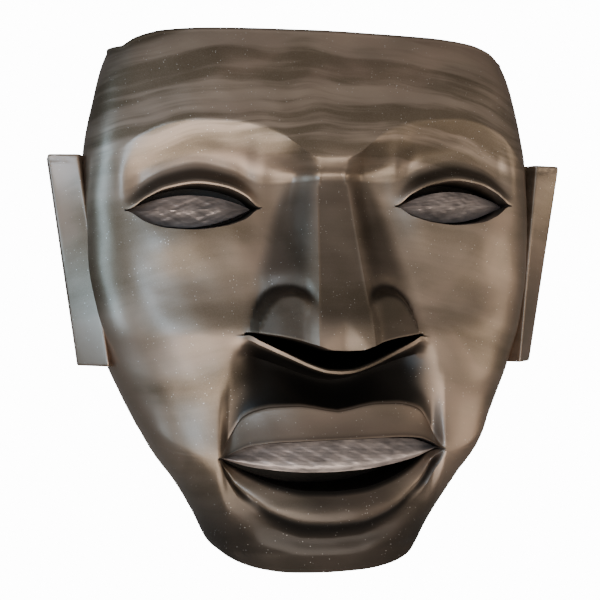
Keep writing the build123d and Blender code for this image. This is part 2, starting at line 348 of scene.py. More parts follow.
@dataclass(frozen=True)
class PolishedSheenStone:
    """Dark volcanic glass, polished, with a bronze sheen in flow bands and fine trapped bubbles."""

    dark: tuple[float, float, float] = (0.140, 0.102, 0.064)
    pale: tuple[float, float, float] = (0.330, 0.250, 0.186)
    warm: tuple[float, float, float] = (0.300, 0.205, 0.148)
    black: tuple[float, float, float] = (0.010, 0.008, 0.006)
    sparkle: tuple[float, float, float] = (0.80, 0.74, 0.66)
    warm_share: float = 0.55
    dust_share: float = 0.22
    painted_highlight_share: float = 0.14
    chin_shade_share: float = 0.84

    def material(self, name: str) -> bpy.types.Material:
        """Bands of dark and pale follow bent level lines, with specks and small scratches over them.

        A painted highlight makes the forehead paler towards the left. The mesh's painted shade and painted
        shade on the chin darken the stone towards black, and the mesh's painted shade also takes away its
        specks and its coat.

        Args:
            name: The material's name.

        Returns:
            The material.
        """
        n = Nodes(name)
        raw = n.coordinates()
        spot = [n.add("ShaderNodeSeparateXYZ", None, {0: raw}, output=k) for k in range(3)]
        drift = n.noise(n.coordinates((1.0, 0.6, 0.7)), 18.0, 2.0)
        level = spot[2] + spot[0] * spot[0] * 2.2 + (drift - 0.5) * 0.016
        flow = n.add("ShaderNodeCombineXYZ", None, {0: spot[0] * 7.0, 1: spot[1] * 9.0, 2: level * 120.0})
        bands = n.noise(flow, 1.0, 5.0, 0.58, 0.3)
        broad = n.noise(n.coordinates((1.0, 1.0, 1.6)), 22.0, 3.0, 0.5, 0.6)
        high = spot[2].clamped(-0.034, -0.018)
        # painted highlight: the upper forehead is made paler towards the left, where the light falls on it
        to_left = (spot[0] * -1.0).clamped(-0.040, 0.030)
        sweep = (spot[2] + spot[0] * 0.06).clamped(0.0, 0.016) * to_left
        streak = (bands - 0.5) * (0.35 + high * 2.0) + (broad - 0.5) * 0.8 + sweep * self.painted_highlight_share
        colour = n.blend((streak + 0.5).clamped(0.26, 0.70), self.dark, self.pale)
        colour = n.blend(broad.clamped(0.45, 0.70) * self.warm_share, colour, self.warm)
        dust = n.noise(raw, 2600.0, 2.0, 0.7)
        colour = n.blend(dust.clamped(0.35, 0.75) * self.dust_share, colour, self.pale)
        specks = n.grains(raw, 900.0)
        # painted shade from the mesh: recesses and shaded faces go towards black and lose their specks and
        # coat
        unshaded = 1.0 - n.add("ShaderNodeAttribute", {"attribute_name": "soot"}, output="Fac")
        soot = 1.0 - unshaded * unshaded
        # painted shade on the chin: the stone darkens towards black towards the bottom, and is a little
        # rougher there
        chin = spot[2].clamped(-0.130, -0.158)
        colour = n.blend(chin * self.chin_shade_share, colour, self.black)
        colour = n.blend(soot, colour, self.black)
        shine = (0.16 - specks).clamped(0.0, 0.10) * n.noise(raw, 260.0).clamped(0.50, 0.62)
        colour = n.blend(shine * unshaded, colour, self.sparkle)
        scratches = n.noise(n.coordinates((1.0, 1.0, 0.12)), 1500.0, 2.0)
        rough = 0.33 + broad * 0.10 + scratches * 0.05 + chin * 0.12
        normal = n.bump(n.noise(raw, 90.0, 3.0), 0.00012)
        normal = n.bump(dust, 0.000012, normal)
        return n.surface(
            Base_Color=colour,
            Metallic=0.82,
            Roughness=rough,
            Normal=normal,
            Coat_Weight=(0.30 + scratches * 0.15) * (1.0 - soot),
            Coat_Roughness=0.24,
            Coat_IOR=1.5,
        )


@dataclass(frozen=True)
class SawnStone:
    """Grey-pink stone, sawn and left matte, with shallow tool marks."""

    dark: tuple[float, float, float] = (0.240, 0.198, 0.176)
    pale: tuple[float, float, float] = (0.560, 0.455, 0.395)

    def material(self, name: str) -> bpy.types.Material:
        """Cloudy grey with fine pits and long low tool marks."""
        n = Nodes(name)
        raw = n.coordinates()
        cloud = n.noise(raw, 120.0, 4.0, 0.6, 0.4)
        marks = n.noise(n.coordinates((60.0, 200.0, 320.0)), 1.0, 3.0, 0.6)
        pits = n.noise(raw, 1800.0, 2.0, 0.7)
        colour = n.blend((cloud * 0.6 + marks * 0.5).clamped(0.35, 0.75), self.dark, self.pale)
        colour = n.blend(pits.clamped(0.55, 0.8) * 0.35, colour, self.pale)
        normal = n.bump(marks, 0.00022)
        normal = n.bump(pits, 0.00003, normal)
        rough = 0.34 + cloud * 0.2
        return n.surface(Base_Color=colour, Metallic=0.65, Roughness=rough, Normal=normal, Coat_Weight=0.1)


@dataclass(frozen=True)
class PlatedSteel:
    """Bright zinc plate over steel, with drawing or brushing lines along one axis."""

    tint: tuple[float, float, float] = (0.56, 0.55, 0.53)
    tarnish: tuple[float, float, float] = (0.22, 0.20, 0.18)
    lines: tuple[float, float, float] = (200.0, 9000.0, 9000.0)
    rough: float = 0.28

    def material(self, name: str) -> bpy.types.Material:
        """Lines stretched along one axis, with dull patches."""
        n = Nodes(name)
        lines = n.noise(n.coordinates(self.lines), 1.0, 3.0)
        patches = n.noise(n.coordinates(), 420.0, 4.0, 0.65)
        colour = n.blend(patches.clamped(0.48, 0.75) * 0.7, self.tint, self.tarnish)
        rough = self.rough + lines * 0.16 + patches.clamped(0.5, 0.8) * 0.2
        return n.surface(Base_Color=colour, Metallic=1.0, Roughness=rough, Normal=n.bump(lines, 0.000015))


@dataclass(frozen=True)
class TurnedBrass:
    """Plain turned brass, a little browned."""

    bright: tuple[float, float, float] = (0.66, 0.48, 0.20)
    brown: tuple[float, float, float] = (0.25, 0.15, 0.06)

    def material(self, name: str) -> bpy.types.Material:
        """Rings from the lathe, with brown in cloudy patches."""
        n = Nodes(name)
        rings = n.noise(n.coordinates((300.0, 6000.0, 300.0)), 1.0, 2.0)
        brown = n.noise(n.coordinates(), 500.0, 4.0)
        colour = n.blend(brown.clamped(0.45, 0.75) * 0.8, self.bright, self.brown)
        rough = 0.30 + brown * 0.2
        return n.surface(Base_Color=colour, Metallic=1.0, Roughness=rough, Normal=n.bump(rings, 0.00002))


@dataclass(frozen=True)
class PressedFelt:
    """Dark grey pressed wool felt."""

    dark: tuple[float, float, float] = (0.030, 0.028, 0.027)
    light: tuple[float, float, float] = (0.120, 0.112, 0.105)

    def material(self, name: str) -> bpy.types.Material:
        """Matted fibres: two crossed noises, stretched and bent."""
        n = Nodes(name)
        warp = n.noise(n.coordinates((1.0, 1.0, 4.0)), 1500.0, 3.0, 0.6, 1.5)
        weft = n.noise(n.coordinates((4.0, 1.0, 1.0)), 1500.0, 3.0, 0.6, 1.5)
        fibre = warp * weft * 2.0
        colour = n.blend(fibre.clamped(0.3, 0.8), self.dark, self.light)
        rough = 0.85 + fibre * 0.1
        return n.surface(Base_Color=colour, Roughness=rough, Normal=n.bump(fibre, 0.0002), Sheen_Weight=0.3)


# ---- the carved face ----------------------------------------------------------------------------------
@dataclass
class Template:
    """One line that the carving follows from the middle of the face to its outline.

    down: how far below the crown the line runs, by distance from the middle.
    end: how far down it meets the outline.
    """

    down: Profile
    end: float


@dataclass
class Head:
    """The ground form of the head, without its features: horizontal sections that change with height.

    A section is half a superellipse on two straight sides. With s = across / half width,
    out = side + (middle - side) * (1 - s^n)^(1/n). The side walls lean in by taper * b^bend, with b the share
    of the way back to the rear rim.
    """

    half: Profile = field(default_factory=lambda: Profile(
        (0, 66), (3, 70.5), (8, 73.6), (24, 78.4), (46, 82.4), (62, 83.2), (80, 82.6), (100, 79.6),
        (117, 74.2), (128, 69.0), (138, 63.6), (149, 57.6), (160, 50.6), (171, 44.2), (179.5, 39.4),
        (182, 37.0)))
    middle: Profile = field(default_factory=lambda: Profile(
        (0, 47), (45, 51), (64, 53), (80, 54), (95, 56), (108, 58.5), (120, 58.5), (130, 57.5), (148, 58.5),
        (165, 57.6), (174, 55.0), (182, 53.0), (190, 49.5)))
    side: Profile = field(default_factory=lambda: Profile(
        (0, 20), (45, 21), (80, 23), (112, 24), (147, 24), (165, 25), (182, 27), (190, 27)))
    power: Profile = field(default_factory=lambda: Profile(
        (0, 2.8), (45, 3.2), (90, 3.0), (112, 2.9), (135, 3.5), (150, 4.2), (170, 3.2), (178, 2.6),
        (190, 2.5)))
    taper: Profile = field(default_factory=lambda: Profile(
        (0, 5.0), (45, 6.2), (120, 5.8), (160, 6.6), (190, 9.0)))
    bend: float = 1.1
    brow_middle: Profile = field(default_factory=lambda: Profile((0, 46), (22, 52), (45, 56.8), (62, 58)))
    brow_side: Profile = field(default_factory=lambda: Profile((0, 22), (22, 24), (45, 24), (62, 23.5)))
    brow_power: Profile = field(default_factory=lambda: Profile((0, 2.7), (30, 2.5), (62, 2.5)))

    def section(self, across: Grid, half: Grid, middle: Grid, side: Grid, power: Grid) -> Grid:
        """How far out the ground form stands at each place."""
        share = np.clip(np.abs(across) / half, 0.0, 1.0)
        return side + (middle - side) * np.clip(1 - share**power, 0.0, 1.0) ** (1 / power)

    def face(self, across: Grid, down: Grid, half: Grid) -> Grid:
        """The ground below the brow, with a low cheekbone and a shallow dip under it."""
        ground = self.section(across, half, self.middle(down), self.side(down), self.power(down))
        inner = np.abs(across)
        bone = np.exp(-(((inner - 56) / 15) ** 2) - ((down - 74) / 8) ** 2)
        dip = np.exp(-(((inner - 51) / 15) ** 2) - ((down - 89) / 6) ** 2)
        return ground + 0.9 * bone - 0.5 * dip

    def forehead(self, across: Grid, down: Grid, half: Grid) -> Grid:
        """The forehead, which stands in front of the face."""
        return self.section(across, half, self.brow_middle(down), self.brow_side(down), self.brow_power(down))


def lean(across: Grid, down: Grid) -> Grid:
    """Returns how far the features lean out of level, as carved by hand: the left side is a little lower."""
    slope = Profile(
        (10, 0), (30, -0.031), (66, -0.031), (86, -0.005), (108, 0.012), (128, -0.01), (147, -0.022),
        (172, -0.015), (188, 0))(down)
    width = Profile((0, 60), (60, 66), (100, 55), (125, 38), (175, 36), (190, 20))(down)
    return slope * across * ease(1.28, 1.0, np.abs(across) / width)


class Band(Enum):
    """The strips between neighbouring templates, from the crown to the chin."""

    FOREHEAD = 0
    COVE = 1
    TROUGH = 2
    EYE = 3
    CHEEK = 4
    NOSE = 5
    UNDERCUT = 6
    LEDGE = 7
    MOUSTACHE = 8
    LIP_STEP = 9
    UPPER_LIP = 10
    SLIT = 11
    MOUTH = 12
    LOWER_LIP = 13
    LIP_EDGE = 14
    CHIN = 15


@dataclass
class CarvedFace:
    """The mask's shell: the carved front, the flat rear rim and the hollow behind.

    Rows and columns are counts, radii are millimetres, and sharp is the least angle in degrees that stays a
    hard edge. An end's edge has its full radius where it stands at least full_round out. The pocket is given
    as its half width, how far down it starts and ends, and its depth.
    """

    head: Head = field(default_factory=Head)
    rows: dict[Band, int] = field(default_factory=lambda: {
        Band.FOREHEAD: 44, Band.COVE: 24, Band.TROUGH: 12, Band.EYE: 18, Band.CHEEK: 24, Band.NOSE: 32,
        Band.UNDERCUT: 6, Band.LEDGE: 14, Band.MOUSTACHE: 16, Band.LIP_STEP: 4, Band.UPPER_LIP: 14,
        Band.SLIT: 3, Band.MOUTH: 18, Band.LOWER_LIP: 16, Band.LIP_EDGE: 5, Band.CHIN: 26})
    front_columns: tuple[int, int, int, int] = (8, 24, 48, 18)
    wall_columns: int = 9
    crown_rows: int = 7
    round_rows: int = 5
    crown_radius: float = 1.3
    chin_radius: float = 4.5
    full_round: float = 12.0
    sharp: float = 32.0
    hollow_rings: int = 18
    pocket: tuple[float, tuple[float, float], float] = (23.0, (4.8, 26.0), 5.2)
    templates: list[Template] = field(default_factory=lambda: [
        Template(Profile((0, 1.6), (40, 2.1), (56, 3.0), (65, 5.2), (70, 8.2)), 8.5),
        Template(Profile((0, 46.2), (5, 46.0), (8, 45.0), (13.6, 41.0), (20, 36.8), (26, 34.4), (32, 33.2),
                         (40, 32.5), (48, 32.2), (56, 33.2), (64, 36.2), (70, 40.2), (75, 45.0),
                         (79, 50.4)), 52.5),
        Template(Profile((0, 53.5), (8, 53.5), (16, 54), (24, 54.2), (34, 49.6), (47, 46.6), (58, 49.0),
                         (70, 55.6), (80, 58)), 58),
        Template(Profile((0, 60.5), (18, 61.5), (24.8, 62.4), (30, 58.6), (38, 55.2), (47, 53.9),
                         (57, 55.4), (64, 58.6), (70.2, 62.4), (80, 62.6)), 63),
        Template(Profile((0, 62.5), (18, 63.0), (24.8, 63.0), (30, 66.3), (38, 68.8), (47, 69.8),
                         (57, 69.0), (64, 66.6), (70.2, 63.0), (80, 64.0)), 65),
        Template(Profile((0, 86), (80, 86)), 86),
        Template(Profile((0, 112), (5, 111.8), (9, 110.6), (16, 108.4), (24, 106.9), (30.4, 106.2),
                         (33, 106.4), (45, 107), (78, 108)), 108),
        Template(Profile((0, 113), (5, 112.8), (9, 111.6), (16, 109.4), (24, 107.9), (30.4, 106.8),
                         (33, 107.0), (45, 107.8), (78, 109)), 109),
        Template(Profile((0, 119.3), (4, 119.0), (9, 117.6), (20, 112.6), (27.5, 109.0), (31.0, 107.3),
                         (33, 107.6), (45, 108.8), (78, 110.5)), 110.5),
        Template(Profile((0, 132.8), (4, 132.2), (9, 131.2), (14, 130.6), (22, 130.8), (28, 132.0),
                         (32, 134.0), (34.3, 137.0), (36.6, 141.2), (38.3, 144.9), (40.3, 146.7),
                         (45.5, 146.0), (62, 139)), 138),
        Template(Profile((0, 133.4), (4, 132.8), (9, 131.8), (14, 131.2), (22, 131.4), (28, 132.6),
                         (32, 134.6), (34.3, 137.6), (36.6, 141.7), (38.3, 145.3), (40.3, 147.0),
                         (45.5, 146.5), (62, 140)), 139.2),
        Template(Profile((0, 142.3), (20, 142.5), (30, 143.4), (35, 145.2), (40.3, 147.6), (45.5, 147.4),
                         (62, 145)), 145),
        Template(Profile((0, 142.8), (20, 143.0), (30, 143.9), (35, 145.6), (40.3, 147.8), (45.5, 147.8),
                         (62, 146)), 146),
        Template(Profile((0, 160.8), (10, 160.2), (20, 157.8), (30, 153.6), (35, 150.6), (40.3, 148.1),
                         (45.5, 148.5), (60, 149)), 149),
        Template(Profile((0, 171.6), (10, 171.0), (14, 170.1), (22, 166.8), (29, 161.7), (34, 157.2),
                         (36, 153.8), (38.3, 150.6), (40.3, 148.6), (45.5, 150.6), (58, 153)), 153),
        Template(Profile((0, 177.4), (10, 176.8), (14, 175.6), (22, 171.6), (29, 165.8), (34, 160.8),
                         (36, 157.6), (38.3, 153.8), (40.3, 151.2), (45.5, 153.4), (56, 157)), 157),
        Template(Profile((0, 190), (14, 189.5), (24, 188.0), (30, 186.2), (34, 184.3), (37, 182)), 182),
    ])

    def build(self) -> bpy.types.Object:
        """Returns the whole shell as one closed piece."""
        across, down, out, soot = self._front()
        out = out + self._wear(across, down, out)
        front = place(across, down, out)
        rear = self._rear(across, down, out)
        patches = [Patch(front, soot=soot), Patch(rear, around=True)]
        return self._pocketed(piece_from("carved_shell", patches, sharp=self.sharp))

    def _pocketed(self, shell: bpy.types.Object) -> bpy.types.Object:
        """Cuts the hanger's pocket into the rear rim with a block that stands a few millimetres proud behind.

        Args:
            shell: The whole shell.

        Returns:
            The same object, with a new mesh.
        """
        x, down, out = self.pocket
        side = np.array([(-x, down[0]), (x, down[0]), (x, down[1]), (-x, down[1])], float)
        proud = -4.0  # behind the rim, so that the cut is open there
        steps = np.array([proud, out])[:, None]
        ring = place(side[None, :, 0] + 0 * steps, side[None, :, 1] + 0 * steps, steps + 0 * side[None, :, 0])
        caps = [np.broadcast_to(ring[[k]].mean(axis=1, keepdims=True), (1, 4, 3)) for k in (0, 1)]
        block = Patch(np.concatenate([caps[0], ring, caps[1]]), around=True)
        cutter = piece_from("pocket_cutter", [block], sharp=30.0)
        cut = shell.modifiers.new("pocket", "BOOLEAN")
        cut.operation, cut.solver, cut.object = "DIFFERENCE", "EXACT", cutter
        bpy.context.view_layer.update()
        mesh = bpy.data.meshes.new_from_object(shell.evaluated_get(bpy.context.evaluated_depsgraph_get()))
        shell.modifiers.clear()
        shell.data = mesh
        mesh.set_sharp_from_angle(angle=math.radians(self.sharp))
        bpy.data.objects.remove(cutter)
        return shell

    def _front(self) -> tuple[Grid, ...]:
        """The carved front as four grids: across, down, out and painted shade.

        Rows follow the templates and share out the strips between them. Columns follow the nose's ridge, the
        foot of its side and the eyes' outer corners, then run back along the side wall.
        """
        band, share = self._row_list()
        low = np.array([b.value for b in band])
        end = np.array([t.end for t in self.templates])
        reach = mix(end[low], end[low + 1], share)
        half = self.head.half(reach)
        nominal = np.array([t.down(0.0) for t in self.templates])
        level = mix(nominal[low], nominal[low + 1], share)
        across, wall = self._columns(level, half)
        inner = np.abs(across)
        upper, lower = np.zeros_like(inner), np.zeros_like(inner)
        for k in range(len(self.templates) - 1):
            mine = low == k
            upper[mine] = self.templates[k].down(inner[mine])
            lower[mine] = self.templates[k + 1].down(inner[mine])
        down = mix(upper, lower, share[:, None])
        flat = down
        down = down + lean(across, down)
        ground = mix(self.head.half(flat), half[:, None], ease(0.72, 1.0, inner / half[:, None]))
        out = self._relief(band, share[:, None], across, flat, ground)
        out = out * (1 - wall)
        # painted shade: darkening for recesses and shaded faces of the front, none on the side walls
        soot = self._painted_shade(band, share[:, None], across, flat) * (wall == 0)
        top = self._crown(across[0], down[0], out[0])
        foot = self._chin_underside(across[-1], down[-1], out[-1])
        soot = np.concatenate([0 * top[0], soot, 0 * foot[0]])
        return *(np.concatenate(parts) for parts in zip(top, (across, down, out), foot)), soot

    def _row_list(self) -> tuple[list[Band], Grid]:
        """Each row's strip, and its share of the way down that strip."""
        band, share = [], []
        for name, count in self.rows.items():
            band += [name] * count
            share.append(np.arange(count) / count)
        band.append(Band.CHIN)
        share.append([1.0])
        return band, np.concatenate(share)

    def _columns(self, level: Grid, half: Grid) -> tuple[Grid, Grid]:
        """Where each column stands, and how far it has run back along the side wall, from 0 to 1."""
        ridge = Profile((0, 6), (45, 4.6), (52, 5.2), (88, 8.0), (112, 9.8), (190, 7))(level)
        foot = Profile(
            (0, 16), (45, 12), (64, 20), (88, 28), (100, 32.2), (120, 33.5), (147, 38), (172, 26),
            (190, 14))(level)
        corner = 0.86 * half
        knots = np.stack([0 * half, ridge, foot, corner, half], 1) / half[:, None]
        angle = np.arcsin(np.clip(knots, 0, 1))
        steps = [np.arange(n) / n for n in self.front_columns]
        spans = [mix(angle[:, k, None], angle[:, k + 1, None], s[None, :]) for k, s in enumerate(steps)]
        angle = np.concatenate([*spans, np.full((len(half), 1), QUARTER_TURN)], 1)
        right = half[:, None] * np.sin(angle)
        back = np.arange(1, self.wall_columns + 1) / self.wall_columns
        side = half[:, None] - self.head.taper(level)[:, None] * back[None, :] ** self.head.bend
        right = np.concatenate([right, side], 1)
        wall = np.concatenate([np.zeros(angle.shape[1]), back])
        return np.concatenate([-right[:, :0:-1], right], 1), np.concatenate([wall[:0:-1], wall])[None, :]

    def _crown(self, across: Grid, down: Grid, out: Grid) -> tuple[Grid, Grid, Grid]:
        """The crown from the rear rim forward, then a quarter round down to the forehead."""
        radius = self.crown_radius
        flat = (np.arange(self.crown_rows) / self.crown_rows)[:, None]
        turn = (np.arange(self.round_rows) / self.round_rows * QUARTER_TURN)[:, None]
        keep = np.clip(out / self.full_round, 0, 1)
        edge = out - radius * keep
        grid = np.concatenate([edge * flat, edge + radius * keep * np.sin(turn)])
        top = down - radius
        height = np.concatenate([top + 0 * flat, top + radius * (1 - np.cos(turn))])
        return self._trimmed(across, out, grid), height, grid

    def _trimmed(self, across: Grid, out: Grid, grid: Grid) -> Grid:
        """Keeps the rows of an end surface inside the side walls, which lean in towards the rear."""
        half, rear = np.abs(across).max(), abs(across[-1])
        back = np.clip(1 - grid / out[np.abs(across).argmax()], 0, 1)
        limit = half - (half - rear) * back**self.head.bend
        return np.clip(across + 0 * grid, -limit, limit)

    def _chin_underside(self, across: Grid, down: Grid, out: Grid) -> tuple[Grid, Grid, Grid]:
        """A quarter round under the chin, then the underside back to the rear rim."""
        radius = self.chin_radius
        turn = (np.arange(1, self.round_rows + 1) / self.round_rows * QUARTER_TURN)[:, None]
        flat = (np.arange(1, self.crown_rows + 1) / self.crown_rows)[:, None]
        keep = np.clip(out / self.full_round, 0, 1)
        edge = out - radius * keep
        grid = np.concatenate([edge + radius * keep * np.cos(turn), edge * (1 - flat)])
        return self._trimmed(across, out, grid), down + 0 * grid, grid

    def _relief(self, band: list[Band], t: Grid, across: Grid, down: Grid, half: Grid) -> Grid:
        """How far out the carved surface stands at each place, strip by strip."""
        inner = np.abs(across)
        face = self.head.face(across, down, half)
        forehead = self.head.forehead(across, down, half)
        nosed = self._nose(inner, down, face)
        eye = ease(23, 31, inner) * ease(73, 65, inner)
        socket = ease(24.6, 25.4, inner) * ease(70.4, 69.6, inner)
        floor = 35.0 + (47.0 - inner) * math.tan(math.radians(10))
        lips = ease(41.0, 36.5, inner)
        under = ease(32.2, 30.4, inner)
        hollow = mix(face, 45.0 + 0 * face, under)
        rim = mix(face, 64.5 - 0.0055 * inner**2, ease(35.0, 29.5, inner))
        upper_lip = mix(face, face + 3.4 - 0.0048 * inner**2, lips)
        lower_lip = mix(face, face + 3.4 - 0.0062 * inner**2, lips)
        valley = mix(face, face - 6.0, ease(38.5, 24.0, inner))
        well = mix(46.0, 37.0, ease(0.50, 0.62, t))
        return self._pick(band, {
            Band.FOREHEAD: forehead,
            Band.COVE: mix(forehead, nosed - 2.6 * eye, Profile((0, 0), (0.4, 0.46), (0.8, 0.92), (1, 1))(t)),
            Band.TROUGH: nosed + eye * Profile((0, -2.6), (0.35, -2.0), (0.8, 0.1), (1, 0.4))(t),
            Band.EYE: mix(nosed, floor, socket * ease(0, 0.05, t) * ease(1, 0.95, t)),
            Band.CHEEK: nosed,
            Band.NOSE: nosed,
            Band.UNDERCUT: mix(nosed, hollow, ease(0, 1, t) * under),
            Band.LEDGE: mix(hollow, rim, Profile((0, 0), (0.8, 0.86), (0.95, 0.99), (1, 1))(t)),
            Band.MOUSTACHE: mix(
                mix(rim, valley, ease(0.04, 0.26, t)), upper_lip - 0.5 * lips,
                Profile((0, 0), (0.2, 0.02), (1, 1))(t)),
            Band.LIP_STEP: upper_lip - 0.5 * lips * ease(1, 0, t),
            Band.UPPER_LIP: upper_lip + lips * (2.6 * t - 0.3 * np.sin(math.pi * t)),
            Band.SLIT: mix(upper_lip + 2.6 * lips, 46.0 + 0 * face, lips * ease(0, 1, t)),
            Band.MOUTH: mix(lower_lip - 4.6 * lips, well + 0 * face, lips * ease(1, 0.965, t)),
            Band.LOWER_LIP: lower_lip - lips * (4.6 * (1 - t) ** 1.3 + 0.7 * t**5),
            Band.LIP_EDGE: mix(
                lower_lip - 0.7 * lips, face - 1.6 * lips, Profile((0, 0), (0.6, 0.75), (1, 1))(t)),
            Band.CHIN: face - 1.6 * lips * ease(0.5, 0.0, t),
        })

    def _pick(self, band: list[Band], strips: dict[Band, Grid]) -> Grid:
        """Takes each row from its own strip's grid. A strip that has none is zero."""
        made = np.zeros(next(iter(strips.values())).shape)
        for name, grid in strips.items():
            mine = np.array([b is name for b in band])
            made[mine] = grid[mine]
        return made

    def _painted_shade(self, band: list[Band], t: Grid, across: Grid, down: Grid) -> Grid:
        """How much painted shade darkens the stone, 0 to 1: in recesses, on the nose and lips, and below the
        lips.
        """
        # painted shade: darkening in the recesses, on the nose's sides, in the lower lip's middle and under
        # the lips, where shade falls
        inner = np.abs(across)
        eye = ease(26, 34, inner) * ease(71, 62, inner)
        socket = ease(24.6, 25.4, inner) * ease(70.4, 69.6, inner)
        under = ease(32.2, 30.6, inner)
        core = ease(0.0, 1.0, (39 + 7 * t - inner) / 18)
        lips = ease(40.4, 37.5, inner)
        ridge, foot = self._ridge(down), self._foot(down)
        q, groove = self._groove(inner, down)
        slope = (inner - ridge) / (foot - ridge)
        nose = 0.40 * ease(0.0, 0.3, slope) * ease(1.05, 0.7, slope) * ease(48, 62, down)
        nose = nose + 0.22 * (inner < ridge) * ease(52, 56, down) * ease(108, 100, down)
        nose = np.maximum(nose, 0.6 * groove * np.exp(-((q / 1.8) ** 2)))
        lip_middle = 0.35 * ease(-18, -4, across) * ease(30, 16, across) * ease(1.0, 0.55, t)
        return self._pick(band, {
            Band.COVE: nose * (inner < 24),
            Band.TROUGH: 0.40 * eye * ease(0.05, 0.4, t) * ease(0.95, 0.75, t) + nose * (inner < 24),
            Band.EYE: np.maximum(socket * ease(0, 0.04, t) * ease(1, 0.96, t), nose * (inner < 24)),
            Band.CHEEK: nose,
            Band.NOSE: nose,
            Band.UNDERCUT: under * ease(0.1, 0.6, t),
            Band.LEDGE: under * ease(0.97, 0.82, t),
            Band.MOUSTACHE: core * ease(0.05, 0.14, t) * ease(1.0, 0.93, t),
            Band.LIP_STEP: 0.2 * lips,
            Band.UPPER_LIP: 0.19 * lips + 0.25 * lips * ease(0.8, 1.0, t),
            Band.SLIT: lips * ease(0, 0.4, t),
            Band.MOUTH: lips + 0 * inner,
            Band.LOWER_LIP: lips * np.maximum(ease(0.30, 0.0, t), lip_middle),
            Band.LIP_EDGE: lips * (0.25 + 0.4 * ease(1, 0.35, t)) * ease(0.02, 0.25, t),
            Band.CHIN: 0.25 * lips * ease(0.7, 0.0, t),
        })

    def _nose(self, inner: Grid, down: Grid, face: Grid) -> Grid:
        """The face with its nose and wings.

        The nose stands on the face by a height on its flat ridge, which falls as (1 - s)^1.5 on the way from
        the ridge's edge to the foot. A soft hollow lies beside the bridge, and a facet is cut off the tip. A
        wing is a sloping facet that starts in a groove. The groove is a dip of exp(-(q / w)^2), with q the
        distance from its line and w larger above the line than below it.
        """
        ridge, foot = self._ridge(down), self._foot(down)
        top = Profile(
            (44, 55.6), (51, 53.4), (55, 54.2), (66, 57.6), (80, 62.2), (96, 67.9), (104, 70.8),
            (112, 72.4))(down)
        middle = self.head.middle(down)
        height = np.clip(top - middle, 0, None)
        s = np.clip((inner - ridge) / (foot - ridge), 0, 1)
        nose = face + (height - 0.25 * (inner / ridge) ** 2 * (inner < ridge)) * (1 - s) ** 1.5
        beside = ease(0.0, 9.0, inner - ridge) * ease(36, 18, inner)
        beside = beside * ease(34, 52, down) * ease(92, 62, down)
        nose = nose - 4.2 * beside
        tip = np.clip((down - (101.5 + 1.15 * inner)) / 10.0, 0, 1)
        nose = nose - 1.5 * tip * (inner < ridge + 1)
        q, groove = self._groove(inner, down)
        wing = 69.5 - 0.27 * (inner - 9) - 0.010 * (inner - 20).clip(0) ** 2 + 0.24 * (down - 107)
        inside = ease(0.0, 3.4, q) * ease(33.0, 29.5, inner) * ease(8.0, 10.5, inner)
        nose = mix(nose, np.maximum(wing, nose), inside)
        return nose - 1.2 * groove * np.exp(-((q / np.where(q < 0, 3.6, 1.8)) ** 2))

    def _ridge(self, down: Grid) -> Grid:
        """Half the width of the nose's flat ridge."""
        return Profile((45, 4.2), (52, 4.4), (58, 5.2), (88, 8.0), (112, 9.8))(down)

    def _foot(self, down: Grid) -> Grid:
        """Half the width of the nose where it meets the face."""
        return Profile((44, 9), (52, 15), (64, 21), (80, 26), (100, 32), (120, 34))(down)

    def _groove(self, inner: Grid, down: Grid) -> tuple[Grid, Grid]:
        """The distance below the line over a wing, and how far the groove on it is cut, from 0 to 1."""
        line = Profile(
            (8, 97), (10.5, 93.6), (13, 91.4), (16.5, 90.3), (20.5, 90.7), (24.2, 92.7), (27.4, 96.6),
            (29.8, 101.8), (31, 108), (32, 122))
        slope = (line(inner + 0.1) - line(inner - 0.1)) / 0.2
        cut = ease(8, 12, inner) * ease(31.5, 26.5, inner)
        return (down - line(inner)) / np.sqrt(1 + slope**2), cut * ease(118, 108, down)

    def _wear(self, across: Grid, down: Grid, out: Grid) -> Grid:
        """Hand polish: very low swells, and none near the rear rim."""
        points = np.stack([across, down, out], -1)
        return waves(points, 38.0, 5, 2) * 0.35 * ease(2, 14, out)

    def _rear(self, across: Grid, down: Grid, out: Grid) -> Grid:
        """The rear rim and the hollow, as rings that shrink from the shell's rear edge to one point.

        A ring of the hollow is the hollow's outline, shrunk by r about its centre, and it stands out by
        depth * (1 - r^4)^(1/2), so the walls are steep at the rim and the floor is a bowl.
        """
        edge = [(a[0], a[1:-1, -1], a[-1, ::-1], a[-2:0:-1, 0]) for a in (across, down, out)]
        x, d, o = (np.concatenate(parts) for parts in edge)
        centre = (0.0, 88.0)
        angle = np.arctan2(x - centre[0], -(d - centre[1]))
        outline = HollowOutline()
        hx, hd = outline.at(angle, centre)
        rim = np.linspace(0, 1, 5)[:, None]
        ring_x, ring_d = mix(x, hx, rim), mix(d, hd, rim)
        ring_o = mix(o, 0 * o, rim)
        r = np.cos(np.linspace(0, QUARTER_TURN, self.hollow_rings))[1:, None]
        deep_x, deep_d = centre[0] + (hx - centre[0]) * r, centre[1] + (hd - centre[1]) * r
        depth = outline.depth(deep_d)
        deep_o = depth * np.clip(1 - r**4, 0, 1) ** 0.5
        pairs = ((ring_x, deep_x), (ring_d, deep_d), (ring_o, deep_o))
        return place(*(np.concatenate(pair) for pair in pairs))


